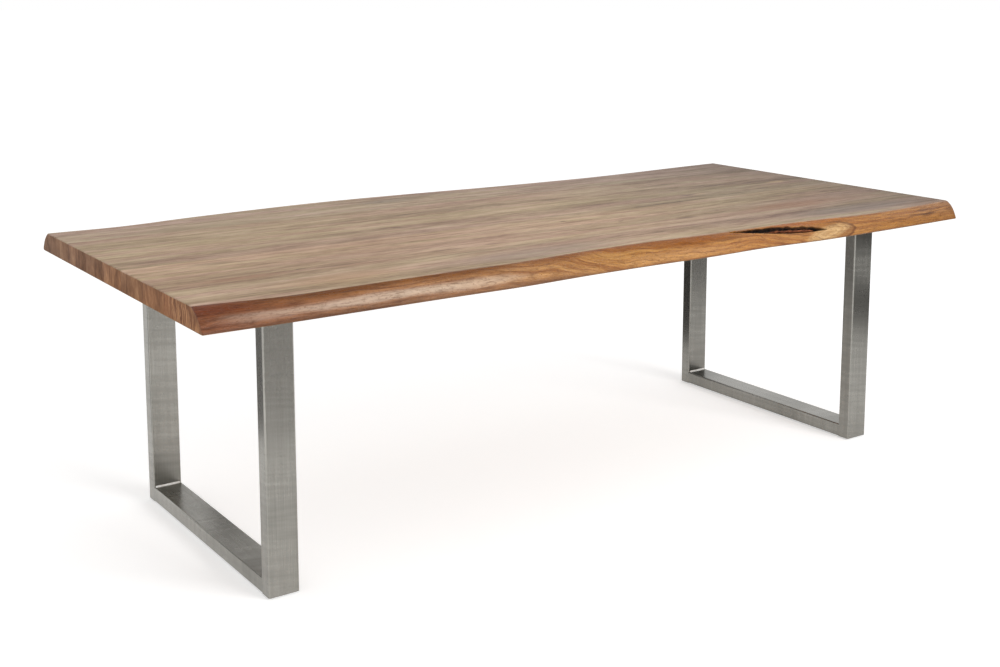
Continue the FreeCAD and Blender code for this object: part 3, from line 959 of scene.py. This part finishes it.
def corner_line(name, z, stations):
    """How far out the solid's edge lies at one height, along the table, softened between corners."""
    corners = np.array([corner.co for corner in solids[name].data.vertices])
    level = np.isclose(corners[:, 2], z, atol=SAME_LEVEL)
    outer = corners[level & (edge_sides[name] * corners[:, 1] > EDGE_REACH)]
    outer = outer[np.argsort(outer[:, 0])]
    steps = np.arange(-half_length, half_length + READ_STEP / 2, READ_STEP)
    line = np.interp(steps, outer[:, 0], outer[:, 1])
    kernel = np.exp(-np.linspace(-2, 2, 2 * SOFTENING + 1) ** 2)
    padded = np.pad(line, SOFTENING, mode="edge")
    return np.interp(stations, steps, np.convolve(padded, kernel / kernel.sum(), "valid"))


for name in edge_sides:
    line = corner_line(name, top_z, np.linspace(-half_length, half_length, 9))
    print(name, "top corner at", np.round(line, 3))

# %% Ripples of the log
RIPPLE = 0.0022
# Waves per metre along the log, waves from the top face to the foot, and where each noise starts
LONG_WAVE = (4.5, 1.3, 0)
SHORT_WAVE = (17, 2.6, 9)
SHORT_RIPPLE_SHARE = 0.35


def wave(x, drop, seed, per_metre, per_drop, start):
    return noise.noise(Vector((x * per_metre, drop * per_drop, seed + start)))


def ripples(stations, drops, seed):
    """Gentle waves of the log's surface."""
    waves = [[wave(x, drop, seed, *LONG_WAVE) + SHORT_RIPPLE_SHARE * wave(x, drop, seed, *SHORT_WAVE)
              for drop in drops] for x in stations]
    return RIPPLE * np.array(waves)


print("ripples of", RIPPLE * 1000, "mm")

# %% [markdown]
# In the front edge the log had closed over a strip of bark. The strip fell out and left a slanting
# void with blunt tips: painted near black inside as painted shade of its depth, with a sliver of bark
# still in its right half and a crisp lip around it. A second mesh could cut it out, but its walls
# would come out smooth. It is sunk into the skin itself, which has close rings there, so that its
# depth is real and its outline can be torn.

# %% Eased steps
def smooth(values, low, high):
    """0 below the low value, 1 above the high one, and eased between them."""
    share = np.clip((values - low) / (high - low), 0, 1)
    return share * share * (3 - 2 * share)


def hump(values, rise_from, rise_to, fall_from, fall_to):
    """1 inside a range of values, easing to 0 on both sides of it."""
    return smooth(values, rise_from, rise_to) * (1 - smooth(values, fall_from, fall_to))


print("a quarter of the way, an eased step has come to", smooth(0.25, 0, 1))

# %% Bark void
VOID_START = (0.300, 0.06)
VOID_END = (0.660, 0.53)
VOID_WIDTH = 0.025
VOID_SKEW = 1.3
VOID_BLUNTNESS = 0.85
TEARS_ALONG = 16
TEAR_START = 3.3
TEAR_SHARE = 0.3
TEAR_WANDER = 0.0025
SLIVER_ACROSS = (-0.30, -0.05, 0.20, 0.45)
SLIVER_ALONG = (0.40, 0.56, 0.82, 0.93)
LEAST_WIDTH = 1e-6
FAR_OUTSIDE = -9


def void_field(stations, drops, height):
    """How deep inside the void each point lies, and how much of the bark sliver it carries."""
    x, drop = np.meshgrid(stations, drops, indexing="ij")
    start = np.array([VOID_START[0], VOID_START[1] * height])
    axis = np.array([VOID_END[0], VOID_END[1] * height]) - start
    length = np.hypot(*axis)
    offset_x, offset_drop = x - start[0], drop * height - start[1]
    along = (offset_x * axis[0] + offset_drop * axis[1]) / length ** 2
    across = (offset_drop * axis[0] - offset_x * axis[1]) / length
    swell = np.sin(math.pi * np.clip(along, 0, 1) ** VOID_SKEW) ** VOID_BLUNTNESS
    torn = np.vectorize(lambda s: noise.noise(Vector((s * TEARS_ALONG, TEAR_START, 0))))(along)
    half = VOID_WIDTH / 2 * swell * (1 + TEAR_SHARE * torn) + LEAST_WIDTH
    aside = (across + TEAR_WANDER * torn * swell) / half
    inside = np.where((along > 0) & (along < 1), 1 - np.abs(aside), FAR_OUTSIDE)
    sliver = hump(aside, *SLIVER_ACROSS) * hump(along, *SLIVER_ALONG)
    return inside, np.where(inside > 0, sliver, 0)


print("void", round((VOID_END[0] - VOID_START[0]) * 1000), "mm long and", VOID_WIDTH * 1000, "mm wide")

# %% Depth of the bark void
VOID_DEPTH = 0.017
VOID_RIM = 0.22
VOID_SLOPE = 0.5
FLOOR_WAVES = (9, 6)
FLOOR_SHARE, WAVE_SHARE = 0.75, 0.4
SLIVER_RISE = 0.010
SLIVER_LIMIT = 0.75
LIP_HEIGHT = 0.0008
LIP_FROM, LIP_TO = -0.6, -0.05


def sink_void(lift, stations, drops, height, seed):
    """Sink the void into an edge's lift, and give it back with the shares of void and sliver."""
    inside, sliver = void_field(stations, drops, height)
    void = smooth(inside, 0.0, VOID_RIM)
    waves = np.abs(ripples(stations * FLOOR_WAVES[0], drops * FLOOR_WAVES[1], seed)) / RIPPLE
    depth = VOID_DEPTH * (FLOOR_SHARE + WAVE_SHARE * waves) * smooth(inside, 0.0, VOID_SLOPE)
    lift = lift - void * (depth - np.minimum(SLIVER_RISE * sliver, depth * SLIVER_LIMIT))
    return lift + LIP_HEIGHT * smooth(inside, LIP_FROM, LIP_TO) * (1 - void), void, sliver


print("void up to", round(VOID_DEPTH * (FLOOR_SHARE + WAVE_SHARE) * 1000), "mm deep")

# %% [markdown]
# A ring of an outer board runs from the glue line over the top face, round the top corner, down the
# live edge, round its foot and back along the underside. The two corners are short curves through
# three points, because a hand plane and sandpaper leave them soft.

# %% Corners and lines of a live edge
ROUND_POINTS = 6


def soft_corner(before, corner, after):
    """Points round a corner, from a point before it to one after it."""
    t = np.linspace(0, 1, ROUND_POINTS)[None, :, None]
    return (1 - t) ** 2 * before[:, None] + 2 * t * (1 - t) * corner[:, None] + t ** 2 * after[:, None]


def edge_lines(name, stations):
    """Top corner and foot of an edge at each station, as Y and Z, with the ends rounded."""
    side, ease = edge_sides[name], end_ease(stations)
    arris = np.stack([corner_line(name, top_z, stations) - side * ease, top_z - ease], axis=-1)
    foot = np.stack([corner_line(name, under_z, stations) - side * ease, under_z + ease], axis=-1)
    return arris, foot


def ring_points(*points):
    """Single points of every ring, each from its Y and Z at all stations."""
    return [np.stack(point, axis=-1)[:, None] for point in points]


print("corners of", ROUND_POINTS, "points")

# %% Surface of a live edge
EDGE_POINTS = 56
EDGE_BULGE = 0.006
VOID_SEED_STEP = 4

edge_drops = np.linspace(0, 1, EDGE_POINTS)


def edge_surface(side, arris, foot, stations, seed, has_void):
    """Points from the top corner to the foot, bulged and rippled, and the void and sliver of each."""
    chord = foot - arris
    height = np.linalg.norm(chord, axis=1, keepdims=True)
    down = chord / height
    outward = np.stack([-down[:, 1] * side, down[:, 0] * side], axis=-1)
    swell = 4 * edge_drops * (1 - edge_drops)
    waves = ripples(stations, edge_drops, seed) * np.sqrt(swell)[None, :]
    lift = EDGE_BULGE * swell[None, :] + waves
    void, sliver = np.zeros_like(lift), np.zeros_like(lift)
    if has_void:
        seed += VOID_SEED_STEP
        lift, void, sliver = sink_void(lift, stations, edge_drops, height.mean(), seed)
    straight = arris[:, None] + edge_drops[None, :, None] * chord[:, None]
    return straight + lift[..., None] * outward[:, None], void, sliver


print("live edges of", EDGE_POINTS, "points from top to foot")

# %% Rings of a live edge board
UPPER_ROUND = 4
LOWER_ROUND = 6
FOOT_ROUND = 0.009


def live_edge_rings(name, joint_y, stations, arris_round, seed, has_void):
    """Rings of an outer board, and the drop, void and sliver of each of their points."""
    side = edge_sides[name]
    arris, foot = edge_lines(name, stations)
    edge, *fields = edge_surface(side, arris, foot, stations, seed, has_void)
    first, last = UPPER_ROUND, EDGE_POINTS - LOWER_ROUND
    inward = np.array([[-side, 0.0]])
    upper = soft_corner(arris + inward * arris_round[:, None], arris, edge[:, first])
    lower = soft_corner(edge[:, last], foot, foot + inward * FOOT_ROUND)
    joint, groove = np.full(len(stations), joint_y), side * GLUE_GROOVE
    face_start = ring_points((joint, arris[:, 1] - GLUE_GROOVE), (joint + groove, arris[:, 1]))
    under_end = ring_points((joint + groove, foot[:, 1]), (joint, foot[:, 1] + GLUE_GROOVE))
    profile = face_start + [upper[:, :-1], edge[:, first:last], lower] + under_end
    profile = np.concatenate(profile, axis=1)
    x = np.broadcast_to(stations[:, None, None], profile.shape[:2] + (1,))
    rounding = edge_drops[first] * np.linspace(0, 1, ROUND_POINTS)[:-1]
    landing = edge_drops[last] + (1 - edge_drops[last]) * np.linspace(0, 1, ROUND_POINTS)
    drops = np.concatenate([[0, 0], rounding, edge_drops[first:last], landing, [1, 1]])
    padding = ((0, 0), (len(face_start) + ROUND_POINTS - 1, ROUND_POINTS + len(under_end)))
    void, sliver = [np.pad(field[:, first:last], padding) for field in fields]
    return np.concatenate([x, profile], axis=-1), drops, void, sliver


print("foot rounded by", FOOT_ROUND * 1000, "mm")

# %% Live edge boards
COARSE_STEP = 0.008
FINE_STEP = 0.002
VOID_MARGIN = 0.03
FACE_SEGMENTS = 4


def edge_stations(fine_from, fine_to):
    """Places along a live edge, closer together over the bark void."""
    coarse = np.arange(-half_length, half_length, COARSE_STEP)
    outside = coarse[(coarse < fine_from) | (coarse > fine_to)]
    return rounded_ends(np.sort(np.concatenate([outside, np.arange(fine_from, fine_to, FINE_STEP)])))


def live_edge_board(name, stave, joint_y, stations, arris_round, seed, has_void, edge_finish):
    """An outer board with its attributes and finishes, in place of the solid."""
    rings, drops, void, sliver = live_edge_rings(name, joint_y, stations, arris_round, seed, has_void)
    finishes = np.full(rings.shape[1], EDGE)
    finishes[:FACE_SEGMENTS] = FACE
    finishes[-ROUND_POINTS:] = UNDER
    mesh = skin(name, rings, finishes, [face, edge_finish, underside, ends], END)
    note(mesh, "stave", np.full(len(mesh.vertices), stave))
    note(mesh, "drop", np.tile(drops, len(stations)))
    note(mesh, "void", void)
    note(mesh, "sliver", sliver)
    place_piece(name.replace("board", "plank"), mesh, name)


print("rings every", COARSE_STEP * 1000, "mm, and every", FINE_STEP * 1000, "mm over the void")

# %% Front and rear board
FRONT_SEED = 2.0
REAR_SEED = 21.0
# The front corner is rounder towards the right end: places along, and the rounding there
FRONT_PLACES = [-half_length, 0.6, half_length]
FRONT_ROUNDS = [0.003, 0.005, 0.010]
REAR_ROUND = 0.005

front_name, rear_name = edge_sides
stations = edge_stations(VOID_START[0] - VOID_MARGIN, VOID_END[0] + VOID_MARGIN)
rounds = np.interp(stations, FRONT_PLACES, FRONT_ROUNDS)
joint_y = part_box(inner_names[0])[0].y
live_edge_board(front_name, 0, joint_y, stations, rounds, FRONT_SEED, True, front_edge)
stations = edge_stations(0.0, 0.0)
rounds = np.full(len(stations), REAR_ROUND)
joint_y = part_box(inner_names[-1])[1].y
live_edge_board(rear_name, BOARD_COUNT - 1, joint_y, stations, rounds, REAR_SEED, False, rear_edge)

# %% [markdown]
# The frames are stainless tube, brushed along its length. The solid's tubes already have the right
# corners, so they stay and only get a finish. The shader's anisotropy could stand for the brushing,
# but it shows no single line, so noise draws them: fine scratches along the tube, faint chatter lines
# across it where the belt jumped, and slow bands of tone that are a painted reflection. The belt
# polishes the corners more, which lowers their roughness, and their lighter colour is a painted
# highlight. A corner is found by its normal, which points along no axis there. Close to the welds in
# the inner corners the steel is painted a little darker, as painted shade.

# %% Corners of the steel
CORNER_REACH = 0.13
SEAM_FROM, SEAM_TO = -0.002, -0.0005
FLAT_NORMAL, ROUND_NORMAL = 0.985, 0.80


def corner_share(finish):
    """1 on a rounded corner of a tube, 0 on its flats."""
    normal = finish.add("TexCoord").outputs["Normal"]
    plain = finish.vector("ABSOLUTE", normal)
    x, y, z = [finish.axis(name, plain) for name in "XYZ"]
    largest = finish.maths("MAXIMUM", finish.maths("MAXIMUM", x, y), z)
    return finish.span(largest, ROUND_NORMAL, FLAT_NORMAL, 1.0, 0.0)


def shaded_weld_corner(finish):
    """1 in the inner corner of post and runner, where painted shade darkens the steel, fading away
    from it.
    """
    low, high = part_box("left_floor_runner")
    y, z = finish.axis("Y"), finish.axis("Z")
    above = finish.maths("SUBTRACT", z, high.z)
    from_front, from_rear = finish.maths("SUBTRACT", y, low.y), finish.maths("SUBTRACT", high.y, y)
    inside = finish.maths("MINIMUM", from_front, from_rear)
    near = finish.span(finish.maths("MAXIMUM", above, inside), 0.0, CORNER_REACH, 1.0, 0.0)
    for distance in (above, inside):
        near = finish.maths("MULTIPLY", near, finish.span(distance, SEAM_FROM, SEAM_TO))
    return near


print("weld corners fade over", CORNER_REACH * 1000, "mm")

# %% Brushed steel
STEEL_TONES = [(0.30, tone(110, 109, 104)), (0.50, tone(140, 138, 132)), (0.68, tone(164, 162, 156))]
# Painted highlight: the lighter colour of the rounded corners
CORNER_HIGHLIGHT_TONE = tone(206, 204, 198)
# Painted reflection: the left frame is a little lighter than the right one, as each mirrors other
# surroundings
FRAME_REFLECTION_TINTS = [(0.2, 1.12), (0.8, 0.92)]
# Each noise: scale across and along the tube, then detail and roughness
FINE_SCRATCHES = (800, 6, 4.0, 0.7)
WIDE_SCRATCHES = (70, 0.9, 2.0, 0.55)
# The tone bands are a painted reflection: slow light and dark bands along the tube
REFLECTION_BANDS = (1.5, 3.4, 2.0, 0.55)
CHATTER = (7, 75, 3.0, 0.55)
CHATTER_SLANT = 0.14
STEEL_WEIGHTS = (0.27, 0.17, 0.36, 0.20)
WELD_SHADE = 0.06
CORNER_HIGHLIGHT_SHARE, CORNER_POLISH = 0.12, 0.04
SCRATCH_DEPTH = 0.00008
STEEL_GLOSS = (0.34, 0.22)
ALONG_Y, ALONG_Z = 1, 2
UPRIGHT_SEED, LEVEL_SEED = 5.0, 3.0


def stretch(lie, across, along):
    """Noise scale that differs along one axis, 0 to 2 for X to Z."""
    scale = [across] * 3
    scale[lie] = along
    return scale


def brushed_noise(finish, lie, place, across, along, detail, roughness):
    return finish.streaks(stretch(lie, across, along), detail, roughness, place)


def brushed_steel(name, lie, seed):
    """Steel brushed along one axis, 0 to 2 for X to Z."""
    finish = Grain(name)
    start = finish.vector("ADD", finish.place, (seed, seed, seed))
    lines = brushed_noise(finish, lie, start, *FINE_SCRATCHES)
    wide = brushed_noise(finish, lie, start, *WIDE_SCRATCHES)
    # Painted reflection: slow bands of tone along the tube
    bands = brushed_noise(finish, lie, start, *REFLECTION_BANDS)
    x = finish.axis("X")
    lean = finish.vector("MULTIPLY", finish.join(x, x, x), stretch(lie, 0, CHATTER_SLANT))
    chatter = brushed_noise(finish, lie, finish.vector("ADD", start, lean), *CHATTER)
    shine = finish.blend((lines, wide, bands, chatter), STEEL_WEIGHTS)
    # Painted shade in the inner corners by the welds
    shade = finish.maths("MULTIPLY", shaded_weld_corner(finish), WELD_SHADE)
    shine = finish.maths("SUBTRACT", shine, shade)
    steel = finish.ramp(shine, STEEL_TONES)
    # Painted reflection: the left frame lighter than the right one
    steel = finish.tint(steel, finish.ramp(share_along(finish), greys(FRAME_REFLECTION_TINTS)))
    corner = corner_share(finish)
    # Painted highlight on the rounded corners, with real polish in the roughness below
    steel = finish.mix(finish.maths("MULTIPLY", corner, CORNER_HIGHLIGHT_SHARE), steel, CORNER_HIGHLIGHT_TONE)
    polish = finish.maths("MULTIPLY", corner, CORNER_POLISH)
    roughness = finish.maths("SUBTRACT", finish.gloss(shine, *STEEL_GLOSS), polish)
    finish.set(Base_Color=steel, Metallic=1.0, Roughness=roughness)
    finish.set(Normal=finish.relief((lines, SCRATCH_DEPTH)))
    return finish


upright_steel = brushed_steel("upright_brushed_steel", ALONG_Z, UPRIGHT_SEED)
level_steel = brushed_steel("level_brushed_steel", ALONG_Y, LEVEL_SEED)
print(upright_steel.material.name, "has", len(upright_steel.nodes), "nodes")

# %% Steel on both frames
SIDES = ("left", "right")
UPRIGHT_PIECES = ("front_post", "rear_post")
LEVEL_PIECES = ("floor_runner", "mounting_bar", "post_end_plates")


def dress(finish, *pieces):
    """Give solids of both frames, which stay in view, their finish."""
    for node in [f"{side}_{piece}" for side in SIDES for piece in pieces]:
        materials = solids[node].data.materials
        materials.clear()
        materials.append(finish.material)
        print(node, "in", finish.material.name)


dress(upright_steel, *UPRIGHT_PIECES)
dress(level_steel, *LEVEL_PIECES)

# %% [markdown]
# Three finishes are left, all a fine speckle over a slow cloud of two tones: the weld metal, whose
# near-white tones are a painted highlight, the zinc plating of bolts, washers, inserts and studs, and
# the black moulded plastic of the glide pads. One function makes them, and only its numbers differ.
# The solids of the small pieces already have every form that shows, so they only need the finish.

# %% Weld metal, plating and plastic
def speckled_finish(name, speckle, cloud, tones, roughness, depth, metallic=0.0):
    """Two tones in slow clouds, with a fine speckle in the gloss and in the relief."""
    finish = Grain(name)
    fine = finish.streaks(*speckle)
    colour = finish.ramp(finish.streaks(*cloud), list(zip((NOISE_LOW, NOISE_HIGH), tones)))
    finish.set(Base_Color=colour, Metallic=metallic, Roughness=finish.gloss(fine, *roughness))
    finish.set(Normal=finish.relief((fine, depth)))
    return finish


# Painted highlight: the bead's near-white tones stand for its bright reflection
weld_metal_and_highlight = speckled_finish(
    "weld_painted_highlight", speckle=((1400, 500, 500), 3.0), cloud=((120, 60, 60), 2.0),
    tones=(tone(226, 225, 220), tone(248, 248, 245)),
    roughness=(0.40, 0.26), depth=0.00005, metallic=0.1)
plated = speckled_finish(
    "plated_steel", speckle=((900, 900, 900), 3.0), cloud=((60, 60, 60), 3.0),
    tones=(tone(150, 150, 146), tone(190, 188, 180)),
    roughness=(0.42, 0.24), depth=0.00005, metallic=1.0)
plastic = speckled_finish(
    "glide_plastic", speckle=((1400, 1400, 1400), 2.0), cloud=((90, 90, 90), 3.0),
    tones=(tone(34, 34, 35), tone(52, 52, 52)), roughness=(0.62, 0.48), depth=0.00008)
dress(plated, "top_bolts", "top_washers", "threaded_inserts", "rivet_nuts")
dress(plated, "front_glide_stud", "rear_glide_stud")
dress(plastic, "front_glide_pad", "rear_glide_pad")

# %% [markdown]
# A weld in an inner corner stays as it was laid: a rounded bead whose ripples are the frozen rims of
# the pool, one every few millimetres. On the outside of the tube the weld is ground flush, so that
# post and runner look like one piece. A curve with a bevel could sweep a plain bead but no ripples,
# so both are skins through rings again. The beads' places are read from the solid, whose plain prisms
# give the root of each corner and the size of its legs.

# %% Read the weld corners from the solid
SAME_PLACE = 1e-5


def islands(node):
    """Corners of each separate solid of a node."""
    joined = bmesh.new()
    joined.from_mesh(solids[node].data)
    bmesh.ops.remove_doubles(joined, verts=joined.verts, dist=SAME_PLACE)
    seen, groups = set(), []
    for first in joined.verts:
        waiting, group = [first], []
        while waiting:
            corner = waiting.pop()
            if corner not in seen:
                seen.add(corner)
                group.append(corner.co[:])
                waiting += [edge.other_vert(corner) for edge in corner.link_edges]
        if group:
            groups.append(np.array(group))
    joined.free()
    return groups


print(len(islands("left_weld_beads")), "beads on each frame")

# %% Weld beads
BEAD_STEP = 0.0005
BEAD_POINTS = 9
BEAD_CROWN = 1.14
RIPPLE_PITCH = 0.0034
RIPPLE_SHARE = 0.11
RIPPLE_BOW = 0.45
TAPER = 0.004
TAPER_START = 0.15


def bead_rings(corners):
    """Rings of a rippled bead along X over one plain prism of the solid."""
    root = np.median(corners, axis=0)
    legs = np.sign(corners.mean(axis=0) - root)
    leg, half = np.ptp(corners[:, 1]), np.ptp(corners[:, 0]) / 2
    turn = np.linspace(0, math.pi / 2, BEAD_POINTS)
    chord = leg / (np.cos(turn) + np.sin(turn))
    crown = 1 + (BEAD_CROWN - 1) * np.sin(2 * turn)
    rings = []
    for along in np.arange(-half, half + BEAD_STEP / 2, BEAD_STEP):
        rim = (along / RIPPLE_PITCH + RIPPLE_BOW * np.sin(2 * turn)) % 1
        taper = math.sqrt(min(1.0, TAPER_START + (half - abs(along)) / TAPER))
        reach = chord * crown * (1 + RIPPLE_SHARE * (rim - 0.5) * np.sin(2 * turn)) * taper
        x, (y, z) = root[0] + along, root[1:]
        outer = [(x, y + legs[1] * r * math.cos(a), z + legs[2] * r * math.sin(a))
                 for r, a in zip(reach, turn)]
        rings.append([(x, y, z)] + outer)
    return np.array(rings)


print("bead ripples every", RIPPLE_PITCH * 1000, "mm")

# %% Ground welds
TUBE_CORNER = 0.004
GROUND_PROUD = 0.00003
GROUND_STEPS = 24
GROUND_LAP = TUBE_CORNER / 8


def ground_rings(runner, end, flank):
    """Rings up a ground weld that fills the notch between a runner's end and a post's round corner."""
    low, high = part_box(runner)
    seam_y = high.y if end > 0 else low.y
    face_x = high.x if flank > 0 else low.x
    heights = np.linspace(low.z + GROUND_PROUD, high.z - GROUND_PROUD, GROUND_STEPS)
    near = np.clip(np.minimum(heights - low.z, high.z - heights), 0, TUBE_CORNER)
    inset = TUBE_CORNER - np.sqrt(TUBE_CORNER ** 2 - (TUBE_CORNER - near) ** 2)
    outer = face_x + flank * GROUND_PROUD
    inner = face_x - flank * (TUBE_CORNER + GROUND_PROUD)
    return np.array([[
        (outer - flank * gap, seam_y - end * GROUND_LAP, z),
        (outer - flank * gap / 2, seam_y + end * TUBE_CORNER / 2, z),
        (outer, seam_y + end * (TUBE_CORNER + GROUND_LAP), z),
        (inner, seam_y + end * GROUND_LAP, z),
    ] for z, gap in zip(heights, inset)])


print("ground welds stand", GROUND_PROUD * 1000, "mm proud")

# %% All welds of a frame
def weld_piece(side):
    """All welds of one frame as one mesh: rippled beads, and ground welds in the second finish."""
    joined = bmesh.new()
    finishes = [weld_metal_and_highlight, level_steel]
    jobs = [(bead_rings(corners), 0) for corners in islands(f"{side}_weld_beads")]
    runner = f"{side}_floor_runner"
    jobs += [(ground_rings(runner, end, flank), 1) for end in (-1, 1) for flank in (-1, 1)]
    for rings, finish in jobs:
        part = skin(f"{side}_weld_run", rings, np.full(rings.shape[1], finish), finishes, finish)
        joined.from_mesh(part)
        bpy.data.meshes.remove(part)
    mesh = bpy.data.meshes.new(f"{side}_weld_runs")
    joined.to_mesh(mesh)
    joined.free()
    for finish in finishes:
        mesh.materials.append(finish.material)
    place_piece(f"{side}_weld_runs", mesh, f"{side}_weld_beads")


for side in SIDES:
    weld_piece(side)
